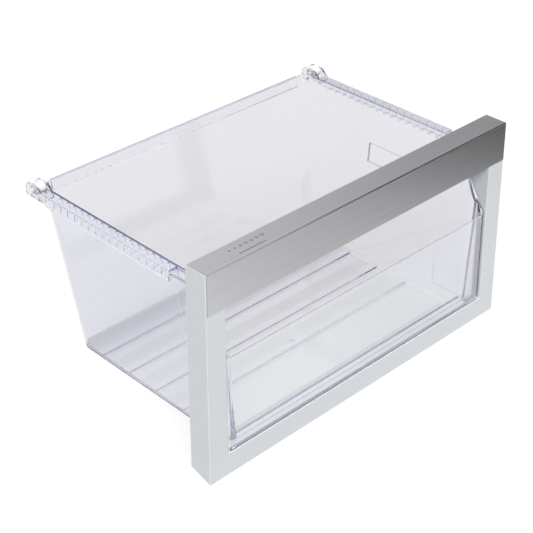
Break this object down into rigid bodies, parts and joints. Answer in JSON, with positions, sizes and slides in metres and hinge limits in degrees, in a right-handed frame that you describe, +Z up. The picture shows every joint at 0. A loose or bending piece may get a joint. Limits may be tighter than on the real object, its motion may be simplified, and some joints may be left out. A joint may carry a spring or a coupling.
{
  "type": "refrigerator crisper drawer",
  "caption": "Clear refrigerator crisper drawer with a ribbed floor, ribbed slide rails, a grey window frame, a brushed trim bar and free-turning rear rollers.",
  "frame": {"origin": "under the middle of the drawer, at the height of the foot of the front frame", "axes": "+X to the right along the front, +Y from the front to the back, +Z up"},
  "size_m": [0.4, 0.264, 0.2205],
  "materials": {
    "clear_plastic": "clear, glossy",
    "grey_plastic": "satin",
    "brushed_trim": "brushed along its length",
    "white_plastic": "satin"
  },
  "bodies": {
    "drawer": {"tub": "clear_plastic", "front_frame": "grey_plastic", "handle_trim": "brushed_trim"},
    "left_wheel": {"roller_left": "white_plastic"},
    "right_wheel": {"roller_right": "white_plastic"}
  },
  "joints": [
    {"name": "roller_left_turn", "type": "hinge", "parent": "drawer", "child": "left_wheel", "pos_m": [-0.1853, 0.12, 0.1976], "axis": [1, 0, 0], "continuous": true},
    {"name": "roller_right_turn", "type": "hinge", "parent": "drawer", "child": "right_wheel", "pos_m": [0.1853, 0.12, 0.1976], "axis": [1, 0, 0], "continuous": true}
  ]
}
